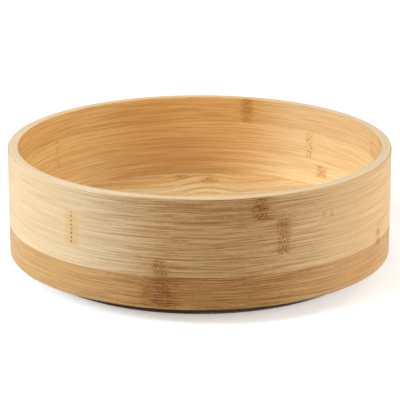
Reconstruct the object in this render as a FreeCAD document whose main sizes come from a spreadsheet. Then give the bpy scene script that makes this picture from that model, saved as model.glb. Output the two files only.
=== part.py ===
import FreeCAD, Part
import os
import Sketcher

# Lazy susan turntable: a round bamboo tray with a tall wall of two bent plies, which turns
# on a dark round board through a flat ball bearing of two stamped plates.
# Millimetres, +Z up along the spin axis, origin on the table under the middle.

os.makedirs("parts", exist_ok=True)
doc = FreeCAD.newDocument("LazySusan")

# --------------------------------------------------------------------------- sizes

SIZES = (
    # the tray's wall
    ("tray_radius", 140.0, "outside radius of the wall"),
    ("wall_height", 78.5, "height of the wall, bottom edge to rim"),
    ("ply_thickness", 4.0, "thickness of each of the wall's two plies"),
    ("glue_line", 0.1, "thickness of the glue between the plies"),
    ("rim_round", 0.9, "rounding of the rim's two edges"),
    ("foot_edge_round", 0.6, "rounding of the wall's two bottom edges"),
    ("butt_gap", 0.25, "width of the glued butt joint in each ply"),
    # the tray's floor
    ("floor_thickness", 8.0, "thickness of the floor board"),
    ("floor_rise", 8.0, "underside of the floor above the wall's bottom edge"),
    ("tongue_reach", 2.0, "how far the floor's tongue stands out"),
    ("tongue_thickness", 4.0, "height of the tongue"),
    ("joinery_gap", 0.1, "clearance of the floor in the wall"),
    ("pivot_pocket_radius", 10.0, "pocket under the floor for the rivet's head"),
    ("pivot_pocket_depth", 3.0, "depth of that pocket"),
    # the base
    ("base_inset", 18.0, "how far the base's edge is inside the wall's outside"),
    ("base_thickness", 10.0, "thickness of the base board"),
    ("base_round", 1.8, "rounding of the base board's two edges"),
    ("rivet_pocket_radius", 9.0, "pocket in the base for the rivet's lower head"),
    ("rivet_pocket_depth", 2.2, "depth of that pocket"),
    ("access_radius", 9.0, "radius of the hole a screwdriver goes through"),
    # the feet
    ("foot_count", 6, "number of rubber feet"),
    ("foot_inset", 18.0, "centre of a foot inside the base's edge"),
    ("foot_radius", 9.0, "radius of a foot"),
    ("foot_height", 3.5, "height of a foot"),
    ("foot_stand", 1.5, "how far a foot stands out of the base"),
    ("foot_chamfer", 0.7, "chamfer of a foot's lower edge"),
    ("foot_pocket_gap", 0.15, "clearance round a foot in its pocket"),
    ("foot_screw_recess", 0.6, "depth of the screw's head inside the foot"),
    # the bearing
    ("plate_thickness", 1.2, "sheet thickness of both plates"),
    ("plate_margin", 2.9, "from the outer screws' heads to the plate's edge"),
    ("race_radius", 60.0, "radius of the circle the balls run on"),
    ("race_angle", 35.0, "half the angle of the race's arc, degrees"),
    ("race_lift", 0.25, "bottom of the race above the flat of its plate"),
    ("crest_lip", 0.2, "crest of the ridge above the race's own edge"),
    ("crest_land", 1.1, "from the race's edge to the crest"),
    ("flank_run", 2.0, "width of the ridge's flank"),
    ("flank_offset", 0.4, "how much narrower the flank is on the plate's back"),
    ("ball_diameter", 5.0, "diameter of a ball"),
    ("ball_count", 24, "number of balls"),
    ("ball_gap", 0.05, "running clearance of a ball on its race"),
    ("driver_radius", 5.0, "hole in the upper plate over the lower screws"),
    # the cage
    ("cage_half_width", 3.7, "half the width of the cage ring"),
    ("cage_thickness", 1.6, "thickness of the cage ring"),
    ("cage_pocket_gap", 0.1, "clearance round a ball in its pocket"),
    # the pivot
    ("rivet_radius", 4.0, "radius of the rivet's shank"),
    ("rivet_head_radius", 7.5, "radius of both heads of the rivet"),
    ("rivet_head_thickness", 1.4, "thickness of both heads"),
    ("rivet_head_round", 0.6, "rounding of both heads"),
    ("bush_wall", 2.0, "wall of the nylon bush"),
    ("pivot_fit", 0.05, "running clearance, rivet to bush and bush to plate"),
    ("washer_thickness", 0.5, "thickness of the nylon washer"),
    ("washer_gap", 0.1, "clearance between washer and plate"),
    # the screws
    ("plate_screw_count", 4, "screws in each plate"),
    ("upper_screw_circle", 40.0, "radius of the circle of the upper plate's screws"),
    ("screw_land", 1.3, "from the ridge to the outer screws' heads"),
    ("screw_radius", 1.9, "radius of a screw's shank"),
    ("screw_head_radius", 3.6, "radius of a pan head"),
    ("screw_head_height", 2.2, "height of a pan head"),
    ("screw_head_round", 0.8, "rounding of a pan head"),
    ("screw_length", 7.0, "length of a plate screw under its head"),
    ("foot_screw_length", 5.5, "length of a foot screw under its head"),
    ("screw_tip", 1.6, "length of a screw's point"),
    ("screw_hole_gap", 0.1, "clearance round a screw's shank"),
    ("pilot_spare", 0.4, "how much deeper a pilot hole is than its screw"),
    ("slot_depth", 1.0, "depth of the cross recess in a head"),
    ("slot_width", 1.0, "width of one arm of the cross recess"),
    ("slot_length", 4.2, "length of one arm of the cross recess"),
)

sheet = doc.addObject("Spreadsheet::Sheet", "Sizes")
for row, (alias, value, meaning) in enumerate(SIZES, start=1):
    sheet.set("A%d" % row, meaning)
    sheet.set("B%d" % row, str(value))
    sheet.setAlias("B%d" % row, alias)
doc.recompute()

# The race: the arc under a ball and the arc on the plate's back, both about the ball's
# centre, then the ridge's crest and flank. The drops are distances from the ball's centre.
RACE_ARC = "(Sizes.ball_diameter / 2 + Sizes.ball_gap)"
BACK_ARC = "(%s + Sizes.plate_thickness)" % RACE_ARC
RACE_SIN = "sin(Sizes.race_angle * 1 deg)"
RACE_COS = "cos(Sizes.race_angle * 1 deg)"
CREST_HALF = "(%s * %s + Sizes.crest_land)" % (RACE_ARC, RACE_SIN)
CREST_DROP = "(%s * %s - Sizes.crest_lip)" % (RACE_ARC, RACE_COS)
RIDGE_HALF = "(%s + Sizes.flank_run)" % CREST_HALF
FACE_DROP = "(%s + Sizes.race_lift)" % RACE_ARC
BACK_DROP = "(%s + Sizes.plate_thickness)" % FACE_DROP

# Levels above the table.
BASE_UNDER = "Sizes.foot_stand"
BASE_TOP = "(Sizes.foot_stand + Sizes.base_thickness)"
BALL_LEVEL = "(%s + %s)" % (BASE_TOP, BACK_DROP)
LOWER_FACE = "(%s - %s)" % (BALL_LEVEL, FACE_DROP)
UPPER_FACE = "(%s + %s)" % (BALL_LEVEL, FACE_DROP)
FLOOR_UNDER = "(%s + %s)" % (BALL_LEVEL, BACK_DROP)
FLOOR_TOP = "(%s + Sizes.floor_thickness)" % FLOOR_UNDER
WALL_BOTTOM = "(%s - Sizes.floor_rise)" % FLOOR_UNDER
WALL_TOP = "(%s + Sizes.wall_height)" % WALL_BOTTOM
TONGUE_LOW = "(%s + (Sizes.floor_thickness - Sizes.tongue_thickness) / 2)" % FLOOR_UNDER
TONGUE_HIGH = "(%s + Sizes.tongue_thickness)" % TONGUE_LOW

# Radii in the wall, outside to inside.
GLUE_OUTER = "(Sizes.tray_radius - Sizes.ply_thickness)"
GLUE_INNER = "(%s - Sizes.glue_line)" % GLUE_OUTER
WALL_INSIDE = "(%s - Sizes.ply_thickness)" % GLUE_INNER
FLOOR_RADIUS = "(%s - Sizes.joinery_gap)" % WALL_INSIDE
TONGUE_RADIUS = "(%s + Sizes.tongue_reach)" % FLOOR_RADIUS
GROOVE_RADIUS = "(%s + Sizes.tongue_reach)" % WALL_INSIDE

# Radii and circles in plan.
BASE_RADIUS = "(Sizes.tray_radius - Sizes.base_inset)"
FOOT_CIRCLE = "(%s - Sizes.foot_inset)" % BASE_RADIUS
FOOT_POCKET = "(Sizes.foot_radius + Sizes.foot_pocket_gap)"
LOWER_SCREW_CIRCLE = ("(Sizes.race_radius + %s + Sizes.screw_land + Sizes.screw_head_radius)"
                      % RIDGE_HALF)
PLATE_RADIUS = ("(%s + Sizes.screw_head_radius + Sizes.plate_margin)"
                % LOWER_SCREW_CIRCLE)

# Holes and the pivot's stack.
SCREW_HOLE = "(Sizes.screw_radius + Sizes.screw_hole_gap)"
BUSH_INSIDE = "(Sizes.rivet_radius + Sizes.pivot_fit)"
BUSH_OUTSIDE = "(%s + Sizes.bush_wall)" % BUSH_INSIDE
PIVOT_BORE = "(%s + Sizes.pivot_fit)" % BUSH_OUTSIDE
WASHER_LOW = "(%s + Sizes.washer_gap)" % FLOOR_UNDER
WASHER_HIGH = "(%s + Sizes.washer_thickness)" % WASHER_LOW
FOOT_RECESS = "(Sizes.screw_head_radius + Sizes.screw_hole_gap)"
FOOT_SCREW_SEAT = "(Sizes.foot_screw_recess + Sizes.screw_head_height)"

SHEET_ROUNDING = 4  # decimals that are enough to tell two levels or radii apart


def value(formula):
    """The number that a formula of the sheet's values comes to."""
    result = sheet.evalExpression(str(formula))
    return float(getattr(result, "Value", result))


# --------------------------------------------------------------------------- helpers

def new_body(node):
    """A body for one sub-part, labelled with its node name."""
    body = doc.addObject("PartDesign::Body", node)
    body.Label = node
    return body


def origin_feature(body, role):
    """The body's own origin plane or axis of that role."""
    return next(f for f in body.Origin.OriginFeatures if f.Role == role)


def new_sketch(body, name, role, level="0"):
    """A sketch on one of the body's origin planes, lifted to a level along its normal."""
    sketch = body.newObject("Sketcher::SketchObject", name)
    sketch.AttachmentSupport = (origin_feature(body, role), [""])
    sketch.MapMode = "FlatFace"
    if level != "0":
        sketch.setExpression("AttachmentOffset.Base.z", level)
    return sketch


def bind(sketch, kind, geometry, point, formula):
    """Fix one coordinate of a sketch point to a formula, or to the axis if it is zero."""
    number = value(formula)
    if abs(number) < 1e-9:
        axis = -2 if kind == "DistanceX" else -1
        sketch.addConstraint(Sketcher.Constraint("PointOnObject", geometry, point, axis))
        return
    index = sketch.addConstraint(Sketcher.Constraint(kind, -1, 1, geometry, point, number))
    sketch.setExpression("Constraints[%d]" % index, formula)


def outline(sketch, corners):
    """A closed outline. A corner is (x, y), or (x, y, centre x, centre y, turn) where an arc
    about that centre leads on to the next corner, anticlockwise for turn 1."""
    points = [FreeCAD.Vector(value(c[0]), value(c[1]), 0) for c in corners]
    starts, ends, bound = [], [], [{"DistanceX", "DistanceY"} for _ in corners]
    for index, corner in enumerate(corners):
        start, end = points[index], points[(index + 1) % len(points)]
        if len(corner) == 2:
            geometry = sketch.addGeometry(Part.LineSegment(start, end), False)
            starts.append((geometry, 1))
            ends.append((geometry, 2))
            continue
        centre = FreeCAD.Vector(value(corner[2]), value(corner[3]), 0)
        circle = Part.Circle(centre, FreeCAD.Vector(0, 0, 1), (start - centre).Length)
        first, last = (start, end) if corner[4] > 0 else (end, start)
        arc = Part.ArcOfCircle(circle, circle.parameter(first), circle.parameter(last))
        geometry = sketch.addGeometry(arc, False)
        starts.append((geometry, 1 if corner[4] > 0 else 2))
        ends.append((geometry, 2 if corner[4] > 0 else 1))
        bind(sketch, "DistanceX", geometry, 3, corner[2])
        bind(sketch, "DistanceY", geometry, 3, corner[3])
        # The arc itself settles one coordinate of its end, the one that changes less there.
        steep = abs(end.x - centre.x) > abs(end.y - centre.y)
        bound[(index + 1) % len(points)].discard("DistanceX" if steep else "DistanceY")
    for index in range(len(corners)):
        follower = starts[(index + 1) % len(corners)]
        sketch.addConstraint(Sketcher.Constraint("Coincident", *ends[index], *follower))
    for index, corner in enumerate(corners):
        for kind, formula in zip(("DistanceX", "DistanceY"), corner):
            if kind in bound[index]:
                bind(sketch, kind, *starts[index], formula)


def ring(sketch, x_place, y_place, radius):
    """A circle whose centre and radius are bound to formulas."""
    centre = FreeCAD.Vector(value(x_place), value(y_place), 0)
    geometry = sketch.addGeometry(
        Part.Circle(centre, FreeCAD.Vector(0, 0, 1), value(radius)), False)
    bind(sketch, "DistanceX", geometry, 3, x_place)
    bind(sketch, "DistanceY", geometry, 3, y_place)
    index = sketch.addConstraint(Sketcher.Constraint("Radius", geometry, value(radius)))
    sketch.setExpression("Constraints[%d]" % index, radius)


def revolve(body, name, corners):
    """A full turn about Z of an outline in the plane of X and Z."""
    sketch = new_sketch(body, name + "_outline", "XZ_Plane")
    outline(sketch, corners)
    turned = body.newObject("PartDesign::Revolution", name)
    turned.Profile = sketch
    turned.ReferenceAxis = (sketch, ["V_Axis"])
    turned.Angle = 360
    doc.recompute()
    return turned


def cut_round(body, name, place, radius, low, depth):
    """A round pocket or hole, cut upwards from a level at a place in plan."""
    before = body.Shape.Volume
    sketch = new_sketch(body, name + "_outline", "XY_Plane", low)
    ring(sketch, place[0], place[1], radius)
    pocket = body.newObject("PartDesign::Pocket", name)
    pocket.Profile = sketch
    pocket.Reversed = True
    pocket.setExpression("Length", depth)
    doc.recompute()
    if body.Shape.Volume >= before - 1e-6:
        raise RuntimeError("%s cuts nothing" % name)
    return pocket


def spread(body, name, features, count):
    """Copies of some features, spread evenly about Z."""
    polar = body.newObject("PartDesign::PolarPattern", name)
    polar.Originals = features
    polar.Axis = (origin_feature(body, "Z_Axis"), [""])
    polar.Angle = 360
    polar.setExpression("Occurrences", count)
    body.Tip = polar
    doc.recompute()
    return polar


def round_edges(body, name, radius, rings):
    """Fillet the circular edges about Z that have these radii and levels."""
    wanted = [(round(value(r), SHEET_ROUNDING), round(value(z), SHEET_ROUNDING))
              for r, z in rings]
    found = []
    for number, edge in enumerate(body.Shape.Edges, start=1):
        if not isinstance(edge.Curve, Part.Circle):
            continue
        centre = edge.Curve.Center
        size = (round(edge.Curve.Radius, SHEET_ROUNDING), round(centre.z, SHEET_ROUNDING))
        if abs(centre.x) + abs(centre.y) < 1e-6 and size in wanted:
            found.append("Edge%d" % number)
    if len(found) < len(wanted):
        raise RuntimeError("%s finds %d of %d edges" % (name, len(found), len(wanted)))
    base = body.Tip
    fillet = body.newObject("PartDesign::Fillet", name)
    fillet.Base = (base, found)
    fillet.setExpression("Radius", radius)
    doc.recompute()
    return fillet


def at_angle(radius, degrees):
    """Formulas of the place on a circle about Z, at an angle from +X."""
    return ("%s * cos(%s * 1 deg)" % (radius, degrees), "%s * sin(%s * 1 deg)" % (radius, degrees))


def minus(formula, other):
    """The formula of a difference."""
    return "(%s - %s)" % (formula, other)


def plus(formula, other):
    """The formula of a sum."""
    return "(%s + %s)" % (formula, other)


# --------------------------------------------------------------------------- the tray

def cut_butt_joint(body, inner, outer, side):
    """The narrow joint where the two ends of a bent ply meet, on the +Y or the -Y side."""
    before = body.Shape.Volume
    half = "Sizes.butt_gap / 2"
    near, far = ("%d * %s" % (side, minus(inner, "1")), "%d * %s" % (side, plus(outer, "1")))
    sketch = new_sketch(body, "butt_joint_outline", "XY_Plane", WALL_BOTTOM)
    outline(sketch, [("-" + half, near), (half, near), (half, far), ("-" + half, far)])
    slit = body.newObject("PartDesign::Pocket", "butt_joint")
    slit.Profile = sketch
    slit.Reversed = True
    slit.setExpression("Length", "Sizes.wall_height")
    doc.recompute()
    if body.Shape.Volume >= before:
        raise RuntimeError("the butt joint cuts nothing")


def wall_outer_ply():
    """The outer bent ply. Its ends meet at the back."""
    body = new_body("wall_outer_ply")
    revolve(body, "ply", [(GLUE_OUTER, WALL_BOTTOM), ("Sizes.tray_radius", WALL_BOTTOM),
                          ("Sizes.tray_radius", WALL_TOP), (GLUE_OUTER, WALL_TOP)])
    round_edges(body, "rim_rounding", "Sizes.rim_round", [("Sizes.tray_radius", WALL_TOP)])
    round_edges(body, "foot_rounding", "Sizes.foot_edge_round",
                [("Sizes.tray_radius", WALL_BOTTOM)])
    cut_butt_joint(body, GLUE_OUTER, "Sizes.tray_radius", 1)
    return body


def wall_inner_ply():
    """The inner bent ply with the groove that holds the floor. Its ends meet in front."""
    body = new_body("wall_inner_ply")
    groove_low = minus(TONGUE_LOW, "Sizes.joinery_gap")
    groove_high = plus(TONGUE_HIGH, "Sizes.joinery_gap")
    revolve(body, "ply", [(WALL_INSIDE, WALL_BOTTOM), (GLUE_INNER, WALL_BOTTOM),
                          (GLUE_INNER, WALL_TOP), (WALL_INSIDE, WALL_TOP),
                          (WALL_INSIDE, groove_high), (GROOVE_RADIUS, groove_high),
                          (GROOVE_RADIUS, groove_low), (WALL_INSIDE, groove_low)])
    round_edges(body, "rim_rounding", "Sizes.rim_round", [(WALL_INSIDE, WALL_TOP)])
    round_edges(body, "foot_rounding", "Sizes.foot_edge_round", [(WALL_INSIDE, WALL_BOTTOM)])
    cut_butt_joint(body, WALL_INSIDE, GLUE_INNER, -1)
    return body


def tray_floor():
    """The floor board: a tongue round its edge, a pocket for the rivet, pilot holes."""
    body = new_body("tray_floor")
    revolve(body, "board", [("0", FLOOR_UNDER), (FLOOR_RADIUS, FLOOR_UNDER),
                            (FLOOR_RADIUS, TONGUE_LOW), (TONGUE_RADIUS, TONGUE_LOW),
                            (TONGUE_RADIUS, TONGUE_HIGH), (FLOOR_RADIUS, TONGUE_HIGH),
                            (FLOOR_RADIUS, FLOOR_TOP), ("0", FLOOR_TOP)])
    cut_round(body, "pivot_pocket", ("0", "0"), "Sizes.pivot_pocket_radius",
              FLOOR_UNDER, "Sizes.pivot_pocket_depth")
    depth = "Sizes.screw_length + Sizes.pilot_spare - Sizes.plate_thickness"
    pilot = cut_round(body, "pilot_hole", ("Sizes.upper_screw_circle", "0"), SCREW_HOLE,
                      FLOOR_UNDER, depth)
    spread(body, "pilot_holes", [pilot], "Sizes.plate_screw_count")
    return body


# --------------------------------------------------------------------------- the bearing

def bearing_plate(node, side, bore):
    """A stamped plate. Side 1 lies under the balls, side -1 is the same plate above them."""
    def level(drop):
        return "(%s - %d * %s)" % (BALL_LEVEL, side, drop)

    def across(half):
        return plus("Sizes.race_radius", half), minus("Sizes.race_radius", half)

    race_out, race_in = across("%s * %s" % (RACE_ARC, RACE_SIN))
    back_out, back_in = across("%s * %s" % (BACK_ARC, RACE_SIN))
    crest_out, crest_in = across(CREST_HALF)
    foot_out, foot_in = across(RIDGE_HALF)
    flank_out, flank_in = across(minus(RIDGE_HALF, "Sizes.flank_offset"))
    race_edge, back_edge = "%s * %s" % (RACE_ARC, RACE_COS), "%s * %s" % (BACK_ARC, RACE_COS)
    centre = ("Sizes.race_radius", BALL_LEVEL)
    body = new_body(node)
    revolve(body, "pressing", [
        (bore, level(FACE_DROP)), (foot_in, level(FACE_DROP)), (crest_in, level(CREST_DROP)),
        (race_in, level(race_edge), *centre, side), (race_out, level(race_edge)),
        (crest_out, level(CREST_DROP)), (foot_out, level(FACE_DROP)),
        (PLATE_RADIUS, level(FACE_DROP)), (PLATE_RADIUS, level(BACK_DROP)),
        (flank_out, level(BACK_DROP)), (back_out, level(back_edge), *centre, -side),
        (back_in, level(back_edge)), (flank_in, level(BACK_DROP)), (bore, level(BACK_DROP))])
    return body


def bearing_upper_plate():
    """The plate under the floor: it turns on the bush and has a hole for a screwdriver."""
    body = bearing_plate("bearing_upper_plate", -1, PIVOT_BORE)
    screw_hole = cut_round(body, "screw_hole", ("Sizes.upper_screw_circle", "0"), SCREW_HOLE,
                           UPPER_FACE, "Sizes.plate_thickness")
    spread(body, "screw_holes", [screw_hole], "Sizes.plate_screw_count")
    cut_round(body, "driver_hole", (LOWER_SCREW_CIRCLE, "0"), "Sizes.driver_radius",
              UPPER_FACE, "Sizes.plate_thickness")
    return body


def bearing_lower_plate():
    """The plate on the base, with the access hole under the upper plate's screws."""
    body = bearing_plate("bearing_lower_plate", 1, BUSH_INSIDE)
    screw_hole = cut_round(body, "screw_hole", (LOWER_SCREW_CIRCLE, "0"), SCREW_HOLE,
                           BASE_TOP, "Sizes.plate_thickness")
    spread(body, "screw_holes", [screw_hole], "Sizes.plate_screw_count")
    cut_round(body, "access_hole", ("Sizes.upper_screw_circle", "0"), "Sizes.access_radius",
              BASE_TOP, "Sizes.plate_thickness")
    return body


def ball_cage():
    """The nylon ring that keeps the balls apart."""
    body = new_body("ball_cage")
    low = minus(BALL_LEVEL, "Sizes.cage_thickness / 2")
    high = plus(BALL_LEVEL, "Sizes.cage_thickness / 2")
    inside = minus("Sizes.race_radius", "Sizes.cage_half_width")
    outside = plus("Sizes.race_radius", "Sizes.cage_half_width")
    revolve(body, "cage_ring", [(inside, low), (outside, low), (outside, high), (inside, high)])
    pocket = cut_round(body, "ball_pocket", ("Sizes.race_radius", "0"),
                       "Sizes.ball_diameter / 2 + Sizes.cage_pocket_gap",
                       low, "Sizes.cage_thickness")
    spread(body, "ball_pockets", [pocket], "Sizes.ball_count")
    return body


def balls():
    """The balls, each in its pocket of the cage."""
    made = []
    for index in range(int(value("Sizes.ball_count"))):
        ball = doc.addObject("Part::Sphere", "ball_%02d" % (index + 1))
        ball.Label = "ball_%02d" % (index + 1)
        ball.setExpression("Radius", "Sizes.ball_diameter / 2")
        place = at_angle("Sizes.race_radius", "(%d * 360 / Sizes.ball_count)" % index)
        ball.setExpression(".Placement.Base.x", place[0])
        ball.setExpression(".Placement.Base.y", place[1])
        ball.setExpression(".Placement.Base.z", BALL_LEVEL)
        made.append(ball)
    return made


# --------------------------------------------------------------------------- the pivot

def pivot_rivet():
    """The rivet that keeps the two plates together."""
    body = new_body("pivot_rivet")
    low = minus(BASE_TOP, "Sizes.rivet_head_thickness")
    high = plus(WASHER_HIGH, "Sizes.rivet_head_thickness")
    shank, head = "Sizes.rivet_radius", "Sizes.rivet_head_radius"
    revolve(body, "rivet", [("0", low), (head, low), (head, BASE_TOP), (shank, BASE_TOP),
                            (shank, WASHER_HIGH), (head, WASHER_HIGH), (head, high),
                            ("0", high)])
    round_edges(body, "head_rounding", "Sizes.rivet_head_round", [(head, low), (head, high)])
    return body


def pivot_ring(node, inside, outside, low, high):
    """A plain ring on the rivet, such as the bush and the washer."""
    body = new_body(node)
    revolve(body, "ring", [(inside, low), (outside, low), (outside, high), (inside, high)])
    return body


# --------------------------------------------------------------------------- the base

def base_disc():
    """The base board: pockets for the feet and the rivet, pilot holes and access hole."""
    body = new_body("base_disc")
    revolve(body, "board", [("0", BASE_UNDER), (BASE_RADIUS, BASE_UNDER),
                            (BASE_RADIUS, BASE_TOP), ("0", BASE_TOP)])
    round_edges(body, "edge_rounding", "Sizes.base_round",
                [(BASE_RADIUS, BASE_UNDER), (BASE_RADIUS, BASE_TOP)])
    cut_round(body, "rivet_pocket", ("0", "0"), "Sizes.rivet_pocket_radius",
              minus(BASE_TOP, "Sizes.rivet_pocket_depth"), "Sizes.rivet_pocket_depth")
    cut_round(body, "access_hole", ("Sizes.upper_screw_circle", "0"), "Sizes.access_radius",
              BASE_UNDER, "Sizes.base_thickness")
    pocket = cut_round(body, "foot_pocket", (FOOT_CIRCLE, "0"), FOOT_POCKET,
                       BASE_UNDER, "Sizes.foot_height - Sizes.foot_stand")
    depth = "Sizes.foot_screw_length + Sizes.pilot_spare"
    pilot = cut_round(body, "foot_pilot", (FOOT_CIRCLE, "0"), SCREW_HOLE,
                      FOOT_SCREW_SEAT, depth)
    spread(body, "foot_pockets", [pocket, pilot], "Sizes.foot_count")
    depth = "(Sizes.screw_length + Sizes.pilot_spare - Sizes.plate_thickness)"
    pilot = cut_round(body, "plate_pilot", (LOWER_SCREW_CIRCLE, "0"), SCREW_HOLE,
                      minus(BASE_TOP, depth), depth)
    spread(body, "plate_pilots", [pilot], "Sizes.plate_screw_count")
    return body


def rubber_feet():
    """The feet: a ring of rubber round the deep seat of its screw."""
    made = []
    inner_edge = minus("Sizes.foot_radius", "Sizes.foot_chamfer")
    for index in range(int(value("Sizes.foot_count"))):
        body = new_body("rubber_foot_%d" % (index + 1))
        revolve(body, "foot", [(FOOT_RECESS, "0"), (inner_edge, "0"),
                               ("Sizes.foot_radius", "Sizes.foot_chamfer"),
                               ("Sizes.foot_radius", "Sizes.foot_height"),
                               (SCREW_HOLE, "Sizes.foot_height"),
                               (SCREW_HOLE, FOOT_SCREW_SEAT), (FOOT_RECESS, FOOT_SCREW_SEAT)])
        place = at_angle(FOOT_CIRCLE, "(%d * 360 / Sizes.foot_count)" % index)
        body.setExpression(".Placement.Base.x", place[0])
        body.setExpression(".Placement.Base.y", place[1])
        made.append(body)
    return made


def screws(node, circle, seat, length, way, count):
    """Pan-head screws on a circle, their shanks up for way 1 and down for way -1."""
    def level(offset):
        return "(%s + %d * %s)" % (seat, way, offset)

    def out(radius):
        return plus(circle, radius)

    body = new_body(node)
    sketch = new_sketch(body, "screw_outline", "XZ_Plane")
    shoulder = minus("Sizes.screw_head_radius", "Sizes.screw_head_round")
    face = "-Sizes.screw_head_height"
    side = "(Sizes.screw_head_round - Sizes.screw_head_height)"
    outline(sketch, [
        (out("0"), level("(%s)" % face)),
        (out(shoulder), level("(%s)" % face), out(shoulder), level(side), way),
        (out("Sizes.screw_head_radius"), level(side)),
        (out("Sizes.screw_head_radius"), level("0")),
        (out("Sizes.screw_radius"), level("0")),
        (out("Sizes.screw_radius"), level(minus(length, "Sizes.screw_tip"))),
        (out("0"), level(length))])
    axis = sketch.addGeometry(
        Part.LineSegment(FreeCAD.Vector(value(circle), 0, 0),
                         FreeCAD.Vector(value(circle), value(FLOOR_TOP), 0)), True)
    bind(sketch, "DistanceX", axis, 1, circle)
    bind(sketch, "DistanceY", axis, 1, "0")
    bind(sketch, "DistanceX", axis, 2, circle)
    bind(sketch, "DistanceY", axis, 2, FLOOR_TOP)
    shape = body.newObject("PartDesign::Revolution", "screw")
    shape.Profile = sketch
    shape.ReferenceAxis = (sketch, ["Axis0"])
    shape.Angle = 360
    doc.recompute()
    recess = cut_cross(body, circle, level("(%s)" % face), way)
    spread(body, "screws", [shape, recess], count)
    return body


def cut_cross(body, circle, level, way):
    """The cross recess in a screw's head."""
    before = body.Shape.Volume
    arm, half = "Sizes.slot_length / 2", "Sizes.slot_width / 2"
    corners = [(arm, "-" + half), (arm, half), (half, half), (half, arm), ("-" + half, arm),
               ("-" + half, half), ("-" + arm, half), ("-" + arm, "-" + half),
               ("-" + half, "-" + half), ("-" + half, "-" + arm), (half, "-" + arm),
               (half, "-" + half)]
    sketch = new_sketch(body, "recess_outline", "XY_Plane", level)
    outline(sketch, [(plus(circle, x), y) for x, y in corners])
    recess = body.newObject("PartDesign::Pocket", "recess")
    recess.Profile = sketch
    recess.Reversed = way > 0
    recess.setExpression("Length", "Sizes.slot_depth")
    doc.recompute()
    if body.Shape.Volume >= before - 1e-6:
        raise RuntimeError("a screw's recess cuts nothing")
    return recess


# --------------------------------------------------------------------------- the object

parts = [
    wall_outer_ply(),
    wall_inner_ply(),
    tray_floor(),
    bearing_upper_plate(),
    screws("upper_plate_screws", "Sizes.upper_screw_circle", UPPER_FACE,
           "Sizes.screw_length", 1, "Sizes.plate_screw_count"),
    ball_cage(),
    *balls(),
    bearing_lower_plate(),
    screws("lower_plate_screws", LOWER_SCREW_CIRCLE, LOWER_FACE,
           "Sizes.screw_length", -1, "Sizes.plate_screw_count"),
    pivot_rivet(),
    pivot_ring("pivot_bush", BUSH_INSIDE, BUSH_OUTSIDE, LOWER_FACE, FLOOR_UNDER),
    pivot_ring("pivot_washer", BUSH_INSIDE, "Sizes.rivet_head_radius", WASHER_LOW, WASHER_HIGH),
    base_disc(),
    *rubber_feet(),
    screws("foot_screws", FOOT_CIRCLE, FOOT_SCREW_SEAT,
           "Sizes.foot_screw_length", 1, "Sizes.foot_count"),
]
doc.recompute()

faults = [item.Name for item in doc.Objects
          if "Invalid" in item.State or "Error" in item.State]
faults += [part.Label for part in parts if part.Shape.isNull() or not part.Shape.isValid()]
if faults:
    raise RuntimeError("these objects failed: %s" % ", ".join(faults))
for part in parts:
    part.Shape.exportStep("parts/%s.step" % part.Label)
print("%d sub-parts, tray %.1f mm across, %.1f mm high"
      % (len(parts), 2 * value("Sizes.tray_radius"), value(WALL_TOP)))
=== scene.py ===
import logging
import math
from dataclasses import dataclass
from enum import Enum
from typing import Union

import bmesh
import bpy
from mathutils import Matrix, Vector


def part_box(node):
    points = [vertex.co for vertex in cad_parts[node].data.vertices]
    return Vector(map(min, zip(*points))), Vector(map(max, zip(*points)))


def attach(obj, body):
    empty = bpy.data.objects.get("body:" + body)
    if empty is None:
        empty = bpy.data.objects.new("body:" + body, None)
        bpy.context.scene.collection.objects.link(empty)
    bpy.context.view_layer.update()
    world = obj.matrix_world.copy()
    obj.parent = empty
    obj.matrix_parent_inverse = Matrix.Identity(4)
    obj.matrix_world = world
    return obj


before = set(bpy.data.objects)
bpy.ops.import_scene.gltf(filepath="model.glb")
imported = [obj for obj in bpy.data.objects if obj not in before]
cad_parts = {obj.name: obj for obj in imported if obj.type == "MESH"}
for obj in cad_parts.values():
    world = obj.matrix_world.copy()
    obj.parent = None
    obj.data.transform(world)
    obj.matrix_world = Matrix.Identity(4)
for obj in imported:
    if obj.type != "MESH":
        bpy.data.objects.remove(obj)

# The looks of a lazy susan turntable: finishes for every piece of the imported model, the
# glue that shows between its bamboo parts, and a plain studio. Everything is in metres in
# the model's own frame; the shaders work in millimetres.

Triple = tuple[float, float, float]
Colour = Triple
Span = tuple[float, float]
Paint = Union[bpy.types.NodeSocket, Colour]
MM = 0.001
LOG = logging.getLogger("turntable")


def srgb(red: float, green: float, blue: float) -> Colour:
    """The linear colour of an sRGB one.

    Args:
        red: Red, 0 to 255.
        green: Green, 0 to 255.
        blue: Blue, 0 to 255.

    Returns:
        The three linear parts, 0 to 1.
    """
    def part(level: float) -> float:
        """One linear part."""
        share = level / 255
        return share / 12.92 if share <= 0.04045 else ((share + 0.055) / 1.055) ** 2.4

    return part(red), part(green), part(blue)


# --------------------------------------------------------------------------- shaders

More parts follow.
